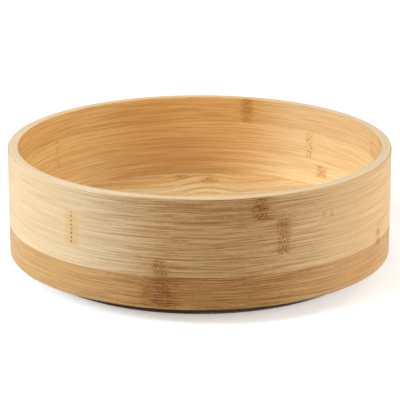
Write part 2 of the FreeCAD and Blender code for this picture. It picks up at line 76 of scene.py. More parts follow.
class Value:
    """A number on a shader socket, which Python's operators extend with Math nodes."""

    def __init__(self, shader: "Shader", socket: bpy.types.NodeSocket) -> None:
        """Wraps a socket of a shader's tree."""
        self.shader = shader
        self.socket = socket

    def __add__(self, other: "Number") -> "Value":
        """The sum."""
        return self.shader.maths("ADD", self, other)

    def __radd__(self, other: "Number") -> "Value":
        """The sum."""
        return self.shader.maths("ADD", other, self)

    def __sub__(self, other: "Number") -> "Value":
        """The difference."""
        return self.shader.maths("SUBTRACT", self, other)

    def __rsub__(self, other: "Number") -> "Value":
        """The difference from a plain number."""
        return self.shader.maths("SUBTRACT", other, self)

    def __mul__(self, other: "Number") -> "Value":
        """The product."""
        return self.shader.maths("MULTIPLY", self, other)

    def __rmul__(self, other: "Number") -> "Value":
        """The product."""
        return self.shader.maths("MULTIPLY", other, self)

    def __truediv__(self, other: "Number") -> "Value":
        """The quotient."""
        return self.shader.maths("DIVIDE", self, other)

    def __rtruediv__(self, other: "Number") -> "Value":
        """A plain number divided by this one."""
        return self.shader.maths("DIVIDE", other, self)

    def __mod__(self, other: "Number") -> "Value":
        """The remainder, never negative."""
        return self.shader.maths("FLOORED_MODULO", self, other)

    def __rmod__(self, other: "Number") -> "Value":
        """The remainder of a plain number."""
        return self.shader.maths("FLOORED_MODULO", other, self)

    def __gt__(self, other: "Number") -> "Value":
        """1 where this is greater, otherwise 0."""
        return self.shader.maths("GREATER_THAN", self, other)

    def __lt__(self, other: "Number") -> "Value":
        """1 where this is less, otherwise 0."""
        return self.shader.maths("LESS_THAN", self, other)

    def __abs__(self) -> "Value":
        """The size without its sign."""
        return self.shader.maths("ABSOLUTE", self)


Number = Union[Value, float, int]


class Nodes:
    """A tree of nodes, each added by one call."""

    def __init__(self, tree: bpy.types.NodeTree) -> None:
        """Takes a tree over and empties it."""
        self.tree = tree
        self.tree.nodes.clear()

    def node(self, kind: str, settings: dict | None = None,
             inputs: dict | None = None) -> bpy.types.Node:
        """Adds a node.

        Args:
            kind: The node's type.
            settings: Its attributes, set before its sockets.
            inputs: A value or a link for each socket, by name or number.

        Returns:
            The node.
        """
        made = self.tree.nodes.new(kind)
        for name, setting in (settings or {}).items():
            setattr(made, name, setting)
        for name, entry in (inputs or {}).items():
            socket = made.inputs[name]
            if isinstance(entry, Value):
                entry = entry.socket
            if isinstance(entry, bpy.types.NodeSocket):
                self.tree.links.new(entry, socket)
            elif isinstance(entry, tuple) and socket.type == "RGBA" and len(entry) == 3:
                socket.default_value = (*entry, 1.0)
            else:
                socket.default_value = entry
        return made


class Shader(Nodes):
    """One material, whose nodes are added by expressions."""

    def __init__(self, name: str) -> None:
        """Starts an empty material.

        Args:
            name: The material's name.
        """
        self.material = bpy.data.materials.new(name)
        self.material.use_nodes = True
        super().__init__(self.material.node_tree)
        place = self.node("ShaderNodeTexCoord").outputs["Object"]
        parts = self.node("ShaderNodeSeparateXYZ", inputs={"Vector": place})
        self.x, self.y, self.z = (Value(self, part) * (1 / MM) for part in parts.outputs)

    def maths(self, operation: str, *terms: Number) -> Value:
        """A Math node of one, two or three terms."""
        made = self.node("ShaderNodeMath", {"operation": operation}, dict(enumerate(terms)))
        return Value(self, made.outputs[0])

    def vector(self, x: Number, y: Number, z: Number) -> bpy.types.NodeSocket:
        """A vector of three numbers."""
        made = self.node("ShaderNodeCombineXYZ", inputs={"X": x, "Y": y, "Z": z})
        return made.outputs[0]

    def distance(self, x: Value, y: Value) -> Value:
        """How far away a point is, from how far it is in two directions."""
        return self.maths("SQRT", x * x + y * y)

    def smooth(self, number: Number, low: Number, high: Number) -> Value:
        """A soft step from 0 at low to 1 at high, or down from 1 if low is the greater."""
        made = self.node(
            "ShaderNodeMapRange", {"interpolation_type": "SMOOTHSTEP"},
            {"Value": number, "From Min": low, "From Max": high})
        return Value(self, made.outputs["Result"])

    def band(self, number: Value, half: Number, soft: float) -> Value:
        """1 where a number is within half of zero, fading to 0 over a soft edge."""
        return self.smooth(abs(number), half + soft, half - soft)

    def noise(self, at: bpy.types.NodeSocket, seed: Number, detail: float = 2.0,
              roughness: float = 0.5) -> Value:
        """Fractal noise from 0 to 1 with cells one unit across.

        Args:
            at: Where it is read.
            seed: A fourth coordinate, which tells one pattern from another.
            detail: How many finer layers are added.
            roughness: How strong they are.

        Returns:
            The noise.
        """
        made = self.node(
            "ShaderNodeTexNoise", {"noise_dimensions": "4D"},
            {"Vector": at, "W": seed, "Scale": 1.0, "Detail": detail, "Roughness": roughness})
        return Value(self, made.outputs[0])

    def flat_noise(self, along: Number, across: Number, per_mm: Span, seed: Number,
                   detail: float = 2.0) -> Value:
        """Noise over two coordinates.

        Args:
            along: The first coordinate, in millimetres.
            across: The second.
            per_mm: How many cells a millimetre holds along and across.
            seed: Tells one pattern from another.
            detail: How many finer layers are added.

        Returns:
            The noise.
        """
        at = self.vector(along * per_mm[0], across * per_mm[1], 0.0)
        return self.noise(at, seed, detail)

    def solid_noise(self, per_mm: float | Triple, seed: Number, detail: float = 2.0,
                    roughness: float = 0.5) -> Value:
        """Noise all through the piece.

        Args:
            per_mm: How many cells a millimetre holds, in all directions or in X, Y and Z.
            seed: Tells one pattern from another.
            detail: How many finer layers are added.
            roughness: How strong they are.

        Returns:
            The noise.
        """
        fine = per_mm if isinstance(per_mm, tuple) else (per_mm,) * 3
        at = self.vector(self.x * fine[0], self.y * fine[1], self.z * fine[2])
        return self.noise(at, seed, detail, roughness)

    def cells(self, at: bpy.types.NodeSocket) -> Value:
        """The distance to the nearest point of a Voronoi pattern with cells of one unit."""
        made = self.node("ShaderNodeTexVoronoi", inputs={"Vector": at, "Scale": 1.0})
        return Value(self, made.outputs["Distance"])

    @staticmethod
    def swing(*layers: tuple[Value, float]) -> Value:
        """A sum of layers of noise, moved down so that its middle is 0.

        Args:
            layers: The layers, each with its weight.

        Returns:
            The sum.
        """
        weighted = [layer * weight for layer, weight in layers]
        middle = sum(weight for _, weight in layers) / 2
        return sum(weighted[1:], weighted[0]) - middle

    def mix(self, share: Number, first: Paint, second: Paint,
            blend: str = "MIX") -> bpy.types.NodeSocket:
        """A mixed colour.

        The Mix node's sockets for colours have the names of its other sockets, so they go
        by number.

        Args:
            share: How much of the second colour there is.
            first: The colour at 0.
            second: The colour at 1.
            blend: How they are blended.

        Returns:
            The colour's socket.
        """
        made = self.node("ShaderNodeMix", {"data_type": "RGBA", "blend_type": blend},
                         {0: share, 6: first, 7: second})
        return made.outputs[2]

    def through(self, share: Number, paint: Paint, tint: Colour) -> bpy.types.NodeSocket:
        """A colour seen through a tint: what the tint lets through, by its share."""
        return self.mix(share, paint, tint, "MULTIPLY")

    def surface(self, paint: Paint, roughness: Number, relief: Value | None = None,
                depth: float = 0.1, clear: bpy.types.NodeSocket | None = None,
                **inputs: Number | Paint) -> bpy.types.Material:
        """Finishes the material.

        Args:
            paint: The base colour.
            roughness: The roughness.
            relief: The height of its fine relief, 0 to 1.
            depth: The relief's depth in millimetres.
            clear: Where the surface is see-through.
            inputs: Values of the shader's own sockets, with _ for a space.

        Returns:
            The material.
        """
        sockets = {name.replace("_", " "): entry for name, entry in inputs.items()}
        sockets.update({"Base Color": paint, "Roughness": roughness})
        if relief is not None:
            bump = self.node("ShaderNodeBump", inputs={"Height": relief, "Distance": depth * MM})
            sockets["Normal"] = bump.outputs[0]
        shader = self.node("ShaderNodeBsdfPrincipled", inputs=sockets)
        if clear is not None:
            nothing = self.node("ShaderNodeBsdfTransparent")
            shader = self.node("ShaderNodeMixShader",
                               inputs={0: clear, 1: shader.outputs[0], 2: nothing.outputs[0]})
        self.node("ShaderNodeOutputMaterial", inputs={"Surface": shader.outputs[0]})
        return self.material


# --------------------------------------------------------------------------- wall

class Dots(Enum):
    """How the ends of the fibre bundles show in a knuckle."""

    SCATTER = "scattered specks"
    FLECK = "small round flecks"
    SLASH = "slanting dashes"
    WAVE = "wavy fibres"
    ROW = "one upright row of specks"


@dataclass(frozen=True)
class Knuckle:
    """A joint of the cane, where it crosses a strip.

    angle is in degrees round the wall from +X; low and high are millimetres above the
    wall's bottom edge; width is millimetres along the strip; stain and specks are how
    strongly its patch and its dots show; smear is how far its shade trails on, in
    millimetres; tint is the shares of red, green and blue that its patch lets through, if
    not the ply's own.
    """

    angle: float
    low: float
    high: float
    width: float
    stain: float = 0.5
    specks: float = 0.6
    smear: float = 0.0
    dots: Dots = Dots.SCATTER
    tint: Colour | None = None


@dataclass(frozen=True)
class Strip:
    """A strip of the wall, up to a height in millimetres, in a pale and a deep tone."""

    top: float
    pale: Colour
    deep: Colour


@dataclass(frozen=True)
class Streaks:
    """One layer of grain: noise drawn out along it.

    length and width are its cells' in millimetres; detail is how many finer layers it has;
    seed tells it from the others; weight is how much it shows.
    """

    length: float
    width: float
    detail: float
    seed: float
    weight: float


@dataclass(frozen=True)
class WallGrain:
    """The grain of a bent ply.

    Its layers come first, then the levels between which its dashes and lines appear. waves
    is the height of its slow waves in millimetres, and wave_cells how many of them there
    are in a millimetre of X, Y and Z. lot_step tells neighbouring strips apart.
    """

    broad: Streaks = Streaks(80.0, 6.0, 2.0, 0.0, 0.35)
    fibre: Streaks = Streaks(45.0, 0.9, 1.0, 11.0, 0.4)
    hair: Streaks = Streaks(34.0, 0.58, 0.0, 23.0, 4.0)
    stipple: Streaks = Streaks(3.2, 1.0, 0.0, 57.0, 0.85)
    dash: Streaks = Streaks(13.0, 0.9, 0.0, 43.0, 0.22)
    long_line: Streaks = Streaks(130.0, 1.1, 0.0, 31.0, 0.20)
    dash_levels: Span = (0.58, 0.72)
    line_levels: Span = (0.60, 0.70)
    waves: float = 4.0
    wave_cells: Triple = (0.012, 0.012, 0.02)
    lot_step: float = 5.3


@dataclass(frozen=True)
class WallPoint:
    """Where a point of a bent ply is.

    degrees is round the wall from +X; inset is how far it is behind the ply's face, and
    height how far above its bottom edge, counted on across the rim, in millimetres; lift
    is the height with the grain's slow waves; lot is a number that differs from strip to
    strip.
    """

    degrees: Value
    inset: Value
    height: Value
    lift: Value
    lot: Number


@dataclass(frozen=True)
class KnuckleMarks:
    """The patterns that the knuckles of a ply share.

    along and height are millimetres round its face and above its bottom edge; waver and
    ripple are how far outlines and specks stray, in millimetres; grit mottles a patch;
    trail draws out its shade; strokes are the ends of the fibre bundles, kind by kind.
    """

    along: Value
    height: Value
    waver: Value
    ripple: Value
    grit: Value
    trail: Value
    strokes: dict[Dots, Value]


@dataclass(frozen=True)
class KnuckleShape:
    """How every knuckle of the wall is drawn.

    soft_end is how sharply it stops at the strip's edges, in millimetres; patch_fade is
    where its patch fades, in shares of its width; the levels are those of the noise
    between which its trail, its body and its specks appear. In millimetres, waver and
    ripple are how far outlines and specks stray, zigzag is how high a zigzag of dashes is,
    fleck_size is a fleck's room along and across the strip, and row_pitch and row_speck
    are the distance between the specks of a row and a speck's soft radius. lean is how
    far a dash leans for its height, and fleck_edge how fast a fleck fades.
    """

    waver: float = 6.0
    ripple: float = 5.0
    zigzag: float = 7.0
    lean: float = 1.5
    fleck_size: Span = (1.7, 1.9)
    fleck_edge: float = 1.25
    soft_end: float = 0.3
    patch_fade: Span = (0.75, 0.22)
    trail_levels: Span = (0.38, 0.62)
    body_levels: Span = (0.34, 0.52)
    speck_levels: Span = (0.50, 0.66)
    row_pitch: float = 3.1
    row_speck: Span = (1.1, 0.5)


@dataclass(frozen=True)
class BentBamboo:
    """The finish of one bent ply: strips of bamboo glued edge to edge, then lacquered.

    face_radius and bottom are the ply's visible face and its bottom edge, in millimetres.
    stain, speck and line are the shares of red, green and blue that a knuckle's stain, its
    specks and a dark fibre let through. calm is how strongly the fibres show, and
    shaded_contrast how much more they show about shaded_angle, in degrees, where shade_tint
    is what the wood lets through; shaded_span is how far away from it that starts and is
    full: painted shade, the least lit side drawn darker and warmer, its relief's shading
    painted into the grain. The wood is paler, towards sheen_colour by sheen_share, about the
    painted_sheen angle over sheen_span, above the height sheen_from: a painted sheen. edge
    is the colour of the sanded rim, which rim_inset and rim_height bound, and shows by
    rim_tone_and_highlight_share: partly the sanded ply's own pale tone, partly a painted
    highlight of light from above.
    At a joint between strips the tones change over joint_soft to both sides, and joint_line
    is the half width and the softness of its dark line, all in millimetres, which shows by
    joint_share.
    """

    name: str
    strips: tuple[Strip, ...]
    knuckles: tuple[Knuckle, ...]
    seed: float
    face_radius: float
    bottom: float
    calm: float = 0.31
    # Painted shade: about this angle the grain shows bolder and the wood darker and warmer.
    shaded_contrast: float = 1.5
    shaded_angle: float = -88.0
    shaded_span: Span = (42.0, 6.0)
    shade_tint: Colour = (0.92, 0.83, 0.74)
    # Painted sheen: about this angle, above a height, the wood is whitened.
    painted_sheen: float = -138.0
    sheen_span: Span = (40.0, 18.0)
    sheen_from: float = 23.0
    sheen_colour: Colour = srgb(255, 255, 240)
    sheen_share: float = 0.12
    stain: Colour = (0.80, 0.67, 0.45)
    speck: Colour = (0.42, 0.29, 0.18)
    line: Colour = (0.60, 0.43, 0.27)
    # The rim's pale tone: partly the sanded ply, partly a painted highlight of light from above.
    edge: Colour = srgb(253, 234, 203)
    rim_tone_and_highlight_share: float = 0.6
    rim_inset: Span = (0.3, 1.2)
    rim_height: Span = (60.0, 62.0)
    joint_soft: float = 0.12
    joint_line: Span = (0.2, 0.35)
    joint_share: float = 1.2
    rough: float = 0.44
    relief: float = 0.14
    gloss: float = 0.36
    grain: WallGrain = WallGrain()
    shape: KnuckleShape = KnuckleShape()

    def material(self) -> bpy.types.Material:
        """Builds the ply's material.

        Returns:
            The material.
        """
        shader = Shader(self.name)
        point = self._point(shader)
        paint, relief = self._wood(shader, point)
        marks = self._marks(shader, point)
        for knuckle in self.knuckles:
            paint = self._knuckle(shader, paint, knuckle, marks)
        rim = shader.smooth(point.inset, *self.rim_inset) * shader.smooth(
            point.height, *self.rim_height)
        # The rim drawn paler: partly the sanded ply's own tone, partly a painted highlight.
        paint = shader.mix(rim * self.rim_tone_and_highlight_share, paint, self.edge)
        rough = self.rough + relief * 0.12 + rim * 0.25
        return shader.surface(paint, rough, relief, self.relief, Specular_IOR_Level=self.gloss)

    def _point(self, shader: Shader) -> WallPoint:
        """Where each point of the ply is.

        Args:
            shader: The material in the making.

        Returns:
            The point.
        """
        inset = abs(shader.distance(shader.x, shader.y) - self.face_radius)
        height = shader.z - self.bottom + inset
        drift = shader.solid_noise(self.grain.wave_cells, self.seed) - 0.5
        lot: Number = self.seed
        for strip in self.strips[:-1]:
            lot = lot + (height > strip.top) * self.grain.lot_step
        degrees = shader.maths("ARCTAN2", shader.y, shader.x) * (180 / math.pi)
        return WallPoint(degrees, inset, height, height + drift * self.grain.waves, lot)

    def _wood(self, shader: Shader, point: WallPoint) -> tuple[bpy.types.NodeSocket, Value]:
        """The strips' colour with fibres, streaks and dark lines along them, with painted shade and a painted
        sheen.

        Args:
            shader: The material in the making.
            point: Where it is read.

        Returns:
            The colour and the fibres' relief.
        """
        def drawn(layer: Streaks) -> Value:
            """One layer of the grain, along the strips."""
            at = shader.vector(shader.x / layer.length, shader.y / layer.length,
                               point.lift / layer.width)
            return shader.noise(at, point.lot + layer.seed, layer.detail)

        grain = self.grain
        broad, fibre = drawn(grain.broad), drawn(grain.fibre)
        hair, stipple = drawn(grain.hair), drawn(grain.stipple)
        dashes = shader.smooth(drawn(grain.dash), *grain.dash_levels)
        long_lines = shader.smooth(drawn(grain.long_line), *grain.line_levels)
        # Painted shade: bolder grain about one angle, standing in for the relief's shading where light grazes.
        painted_shade = shader.smooth(abs(point.degrees - self.shaded_angle), *self.shaded_span)
        contrast_with_shade = painted_shade * self.shaded_contrast + self.calm
        swing = shader.swing((broad, grain.broad.weight), (fibre, grain.fibre.weight),
                             (hair, grain.hair.weight), (stipple, grain.stipple.weight))
        pale, deep = self._tones(shader, point.height)
        paint = shader.mix(swing * contrast_with_shade + 0.5, pale, deep)
        marks = long_lines * grain.long_line.weight + dashes * grain.dash.weight
        for strip in self.strips[:-1]:
            joint = shader.band(point.height - strip.top, *self.joint_line)
            marks = marks + joint * stipple * self.joint_share
        paint = shader.through(marks * contrast_with_shade, paint, self.line)
        # Painted shade: the wood tinted darker and warmer about that angle.
        paint = shader.through(painted_shade, paint, self.shade_tint)
        # Painted sheen: the wood whitened about one angle, standing in for a broad gloss highlight.
        painted_sheen = shader.smooth(abs(point.degrees - self.painted_sheen), *self.sheen_span) * (
            point.height > self.sheen_from)
        paint = shader.mix(painted_sheen * self.sheen_share, paint, self.sheen_colour)
        return paint, fibre * 0.35 + hair * 0.45 + stipple * 0.2

    def _tones(self, shader: Shader, height: Value) -> tuple[Paint, Paint]:
        """The strips' tones.

        Args:
            shader: The material in the making.
            height: Height above the ply's bottom edge.

        Returns:
            The pale and the deep tone.
        """
        pale, deep = self.strips[0].pale, self.strips[0].deep
        for below, strip in zip(self.strips, self.strips[1:]):
            above = shader.smooth(height, below.top - self.joint_soft,
                                  below.top + self.joint_soft)
            pale = shader.mix(above, pale, strip.pale)
            deep = shader.mix(above, deep, strip.deep)
        return pale, deep

    def _marks(self, shader: Shader, point: WallPoint) -> KnuckleMarks:
        """The patterns of the ply's knuckles.

        Args:
            shader: The material in the making.
            point: Where they are read.

        Returns:
            The patterns.
        """
        shape, along, height = self.shape, point.degrees * self._per_degree(), point.height
        waver = (shader.flat_noise(along, height, (0.2, 0.22), 3.0) - 0.5) * shape.waver
        grit = shader.flat_noise(along, height, (0.35, 0.8), self.seed)
        ripple = (shader.flat_noise(along, height, (0.3, 0.3), 17.0) - 0.5) * shape.ripple
        scatter = shader.flat_noise(along, height + ripple * 0.2, (0.80, 1.05), self.seed, 0.0)
        leant = along + abs(height % shape.zigzag - shape.zigzag / 2) * shape.lean
        slash = shader.flat_noise(leant, height + ripple * 0.3, (0.78, 0.45), self.seed, 0.0)
        room_along, room_up = shape.fleck_size
        fleck = 1.0 - shape.fleck_edge * shader.cells(
            shader.vector((along + waver * 0.25) / room_along, height / room_up, self.seed))
        wave = shader.flat_noise(along, height + ripple * 0.5, (0.13, 1.2), self.seed, 1.0)
        trail = shader.flat_noise(along, height, (0.04, 0.75), self.seed + 7.0)
        strokes = {Dots.SCATTER: scatter, Dots.FLECK: fleck, Dots.SLASH: slash,
                   Dots.WAVE: wave, Dots.ROW: scatter}
        return KnuckleMarks(along, height, waver, ripple, grit, trail, strokes)

    def _per_degree(self) -> float:
        """How many millimetres of the face one degree is."""
        return self.face_radius * math.pi / 180

    def _knuckle(self, shader: Shader, paint: Paint, knuckle: Knuckle,
                 marks: KnuckleMarks) -> bpy.types.NodeSocket:
        """One of the cane's joints over the strips' colour.

        Args:
            shader: The material in the making.
            paint: The colour so far.
            knuckle: The joint.
            marks: The patterns it is drawn with.

        Returns:
            The colour with the joint.
        """
        shape = self.shape
        run = marks.along - knuckle.angle * self._per_degree()
        middle, half = (knuckle.low + knuckle.high) / 2, (knuckle.high - knuckle.low) / 2
        inside = shader.band(marks.height - middle, half, shape.soft_end)
        start, full = (share * knuckle.width for share in shape.patch_fade)
        patch = shader.smooth(abs(run + marks.waver), start, full) * inside
        if knuckle.smear:
            spread = shader.smooth(abs(run), knuckle.smear, 0.0)
            shade = spread * inside * shader.smooth(marks.trail, *shape.trail_levels)
            paint = shader.through(shade * knuckle.stain, paint, self.stain)
        stroke = marks.strokes[knuckle.dots]
        body = marks.grit * 0.5 + shader.smooth(stroke, *shape.body_levels) * 0.7
        paint = shader.through(patch * body * knuckle.stain, paint, knuckle.tint or self.stain)
        if knuckle.dots is Dots.ROW:
            pitch = shape.row_pitch
            step = (marks.height + marks.ripple * 0.7) % pitch - pitch / 2
            far = shader.distance(step, run + marks.waver * 0.4)
            specks = shader.smooth(far, *shape.row_speck) * inside
        else:
            specks = shader.smooth(stroke, *shape.speck_levels) * patch
        return shader.through(specks * knuckle.specks, paint, self.speck)


OUTER_STRIPS = (
    Strip(23.0, srgb(215, 170, 107), srgb(175, 123, 69)),
    Strip(36.0, srgb(232, 199, 146), srgb(203, 160, 105)),
    Strip(62.0, srgb(230, 195, 142), srgb(199, 154, 100)),
    Strip(90.0, srgb(226, 190, 136), srgb(191, 146, 94)),
)

INNER_STRIPS = (
    Strip(26.0, srgb(250, 221, 162), srgb(221, 180, 113)),
    Strip(37.0, srgb(242, 209, 150), srgb(214, 168, 103)),
    Strip(59.0, srgb(237, 200, 135), srgb(207, 157, 90)),
    Strip(90.0, srgb(226, 184, 116), srgb(194, 143, 77)),
)

YELLOWED = (0.97, 0.90, 0.60)
REDDENED = (0.80, 0.68, 0.57)
ORANGED = (0.93, 0.74, 0.48)

OUTER_KNUCKLES = (
    Knuckle(-128.7, 36.5, 61.5, 12.0, 0.95, 0.10, tint=YELLOWED),
    Knuckle(-128.9, 38.0, 60.5, 1.6, 0.10, 0.9, dots=Dots.ROW),
    Knuckle(-101.1, 23.4, 35.6, 8.5, 0.80, 0.70, 20.0, tint=REDDENED),
    Knuckle(-101.2, 1.5, 22.6, 23.0, 0.85, 0.60, 40.0, Dots.WAVE, REDDENED),
    Knuckle(-100.4, 2.0, 22.6, 9.0, 0.45, 0.50, tint=REDDENED),
    Knuckle(-72.8, 62.4, 78.3, 11.0, 0.80, 0.95, 24.0, Dots.SLASH),
    Knuckle(-66.0, 36.4, 61.6, 9.0, 0.75, 0.85, 14.0, tint=REDDENED),
    Knuckle(-52.4, 56.5, 61.8, 3.8, 0.90, 0.12, tint=ORANGED),
    Knuckle(-49.8, 56.5, 61.8, 3.4, 0.95, 0.12, tint=ORANGED),
    Knuckle(-25.0, 20.0, 35.7, 4.5, 1.0, 0.45, 8.0, Dots.FLECK, ORANGED),
    Knuckle(31.0, 62.3, 78.3, 7.0, 0.55, 0.80, 14.0),
    Knuckle(74.0, 36.3, 61.7, 7.4, 0.50, 0.75, 12.0),
    Knuckle(118.0, 0.0, 22.6, 8.0, 0.75, 0.80, 24.0, Dots.SLASH),
    Knuckle(151.0, 36.3, 61.7, 6.8, 0.55, 0.75, 10.0),
)

INNER_KNUCKLES = (
    Knuckle(73.6, 59.4, 78.4, 8.4, 0.60, 0.70, 14.0),
    Knuckle(49.4, 37.3, 58.7, 6.4, 0.85, 0.65, dots=Dots.FLECK, tint=ORANGED),
    Knuckle(43.8, 23.5, 33.5, 9.0, 0.80, 0.42, 10.0, Dots.FLECK, ORANGED),
    Knuckle(13.0, 59.3, 78.4, 6.6, 0.34, 0.40, dots=Dots.FLECK),
    Knuckle(-38.0, 37.3, 58.7, 7.2, 0.42, 0.65, dots=Dots.FLECK),
    Knuckle(-96.0, 59.4, 78.4, 7.6, 0.46, 0.70, 12.0),
    Knuckle(-141.0, 26.3, 36.7, 7.0, 0.42, 0.60),
    Knuckle(146.0, 37.3, 58.7, 6.4, 0.30, 0.40, dots=Dots.FLECK),
)


# --------------------------------------------------------------------------- floor

@dataclass(frozen=True)
class FloorKnuckle:
    """A joint of the cane in the floor board.

    x and y are its middle; length and width are how far its patch reaches in X and in Y,
    all in millimetres; stain and specks are how strongly its patch and its dashes show.
    """

    x: float
    y: float
    length: float
    width: float
    stain: float = 0.6
    specks: float = 0.6


FLOOR_KNUCKLES = (
    FloorKnuckle(-15.0, 121.0, 8.0, 8.0, 0.8, 0.9),
    FloorKnuckle(8.0, 112.0, 10.0, 12.0, 0.8, 0.8),
    FloorKnuckle(13.0, 75.0, 3.0, 4.0, 0.4, 1.0),
    FloorKnuckle(-66.0, 44.0, 6.0, 13.0, 0.6, 0.8),
    FloorKnuckle(58.0, 34.0, 7.0, 12.0, 0.5, 0.7),
    FloorKnuckle(21.0, 2.0, 6.0, 13.0, 0.6, 0.8),
    FloorKnuckle(-88.0, -12.0, 7.0, 12.0, 0.5, 0.7),
    FloorKnuckle(-24.0, -47.0, 6.0, 12.0, 0.6, 0.8),
    FloorKnuckle(70.0, -60.0, 7.0, 12.0, 0.5, 0.7),
    FloorKnuckle(-40.0, -101.0, 6.0, 12.0, 0.6, 0.8),
)


@dataclass(frozen=True)
class FloorGrain:
    """The grain of the floor board.

    Its layers come first, then how much a strip's own tone shows, and the levels between
    which its lines, its rings and its knuckles' specks appear. slow_bend and quick_bend
    are how far the grain strays from a straight line, in millimetres. lot_step tells
    neighbouring strips apart.
    """

    broad: Streaks = Streaks(95.0, 6.0, 1.0, 1.0, 1.7)
    fibre: Streaks = Streaks(55.0, 1.5, 2.0, 9.0, 1.6)
    stipple: Streaks = Streaks(4.0, 1.4, 0.0, 29.0, 0.9)
    line: Streaks = Streaks(120.0, 2.0, 1.0, 17.0, 0.65)
    tone_weight: float = 1.4
    slow_bend: float = 9.0
    quick_bend: float = 2.5
    lot_step: float = 3.7
    line_levels: Span = (0.58, 0.68)
    ring_levels: Span = (0.35, 0.55)
    speck_levels: Span = (0.50, 0.64)


@dataclass(frozen=True)
class BoardPoint:
    """Where a point of the floor board is.

    In millimetres, run is along the strips, side is across them, and across is side with
    the grain's bends; lot differs from strip to strip; bend is noise about 0.
    """

    run: Value
    side: Value
    across: Value
    lot: Value
    bend: Value


@dataclass(frozen=True)
class FloorBamboo:
    """The finish of the floor board: flat-sawn bamboo strips side by side.

    turn is how many degrees the strips lie off X. In millimetres, first_seam is how far
    the joints between them are moved, and the joint's dark line has its middle and its
    half width and softness. The grain arches up by arch_height about heart_x, over
    arch_half to each side, as Y goes through arch_rise. Rings show about the heart, within
    its spans, ring_pitch apart and ring_line wide and soft. The shares are how strongly
    rings and joints show.
    """

    name: str = "bamboo_floor"
    pale: Colour = srgb(255, 240, 194)
    deep: Colour = srgb(236, 184, 106)
    stain: Colour = (0.88, 0.70, 0.42)
    speck: Colour = (0.50, 0.34, 0.19)
    line: Colour = (0.66, 0.48, 0.30)
    strip_width: float = 27.0
    first_seam: float = 9.0
    seam_middle: float = 0.2
    seam_line: Span = (0.1, 0.2)
    turn: float = 11.0
    heart_x: float = 3.0
    heart_y: float = 86.0
    heart_span_x: Span = (24.0, 8.0)
    heart_span_y: Span = (26.0, 12.0)
    arch_height: float = 16.0
    arch_half: float = 32.0
    arch_rise: Span = (40.0, 84.0)
    ring_pitch: float = 8.0
    ring_line: Span = (1.1, 1.0)
    ring_share: float = 0.7
    seam_share: float = 0.4
    knuckle_fade: Span = (1.1, 0.35)
    rough: float = 0.36
    relief: float = 0.15
    coat: float = 0.15
    coat_rough: float = 0.25
    grain: FloorGrain = FloorGrain()
    knuckles: tuple[FloorKnuckle, ...] = FLOOR_KNUCKLES

    def material(self) -> bpy.types.Material:
        """Builds the board's material.

        Returns:
            The material.
        """
        shader = Shader(self.name)
        point = self._point(shader)
        paint, fibre = self._wood(shader, point)
        dashes = shader.flat_noise(point.run, point.across, (0.45, 0.32), 13.0, 1.0)
        specks = shader.smooth(dashes, *self.grain.speck_levels)
        for knuckle in self.knuckles:
            far = shader.distance((shader.x - knuckle.x) / knuckle.length,
                                  (shader.y - knuckle.y) / knuckle.width)
            patch = shader.smooth(far + point.bend * 0.8, *self.knuckle_fade)
            paint = shader.through(patch * knuckle.stain, paint, self.stain)
            paint = shader.through(specks * patch * knuckle.specks, paint, self.speck)
        return shader.surface(paint, self.rough + fibre * 0.12, fibre, self.relief,
                              Coat_Weight=self.coat, Coat_Roughness=self.coat_rough)

    def _point(self, shader: Shader) -> BoardPoint:
        """Where each point of the board is.

        Args:
            shader: The material in the making.

        Returns:
            The point.
        """
        x, y = shader.x, shader.y
        turn = math.radians(self.turn)
        run = x * math.cos(turn) + y * math.sin(turn)
        side = y * math.cos(turn) - x * math.sin(turn)
        lot = shader.maths("FLOOR", (side + self.first_seam) / self.strip_width)
        slow = shader.flat_noise(run, side, (0.011, 0.02), 2.0) - 0.5
        bend = shader.flat_noise(run, side, (0.05, 0.05), 5.0) - 0.5
        arch = self.arch_height * shader.smooth(
            abs(x - self.heart_x), self.arch_half, 0.0) * shader.smooth(y, *self.arch_rise)
        bends = slow * self.grain.slow_bend + bend * self.grain.quick_bend
        across = side + bends - arch + shader.z
        return BoardPoint(run, side, across, lot, bend)

    def _wood(self, shader: Shader, point: BoardPoint) -> tuple[bpy.types.NodeSocket, Value]:
        """The strips' colour with their fibres, lines, rings and joints.

        Args:
            shader: The material in the making.
            point: Where it is read.

        Returns:
            The colour and the fibres' relief.
        """
        grain = self.grain

        def drawn(layer: Streaks) -> Value:
            """One layer of the grain, along the board."""
            at = shader.vector(point.run / layer.length, point.across / layer.width,
                               shader.z * 0.3)
            return shader.noise(at, point.lot * grain.lot_step + layer.seed, layer.detail)

        broad, fibre, stipple = drawn(grain.broad), drawn(grain.fibre), drawn(grain.stipple)
        lines = shader.smooth(drawn(grain.line), *grain.line_levels)
        tone = shader.flat_noise(point.lot, 0.0, (0.71, 0.0), 31.0, 0.0)
        swing = shader.swing((broad, grain.broad.weight), (fibre, grain.fibre.weight),
                             (stipple, grain.stipple.weight), (tone, grain.tone_weight))
        paint = shader.mix(swing + 0.5, self.pale, self.deep)
        paint = shader.through(lines * grain.line.weight, paint, self.line)
        rings = shader.band(point.across % self.ring_pitch - self.ring_pitch / 2,
                            *self.ring_line) * shader.smooth(broad, *grain.ring_levels)
        heart = shader.smooth(abs(shader.x - self.heart_x), *self.heart_span_x) * shader.smooth(
            abs(shader.y - self.heart_y), *self.heart_span_y)
        paint = shader.through(rings * heart * self.ring_share, paint, self.stain)
        past = (point.side + self.first_seam) % self.strip_width
        seam = shader.band(past - self.seam_middle, *self.seam_line)
        return shader.through(seam * self.seam_share, paint, self.line), fibre


# --------------------------------------------------------------------------- other finishes

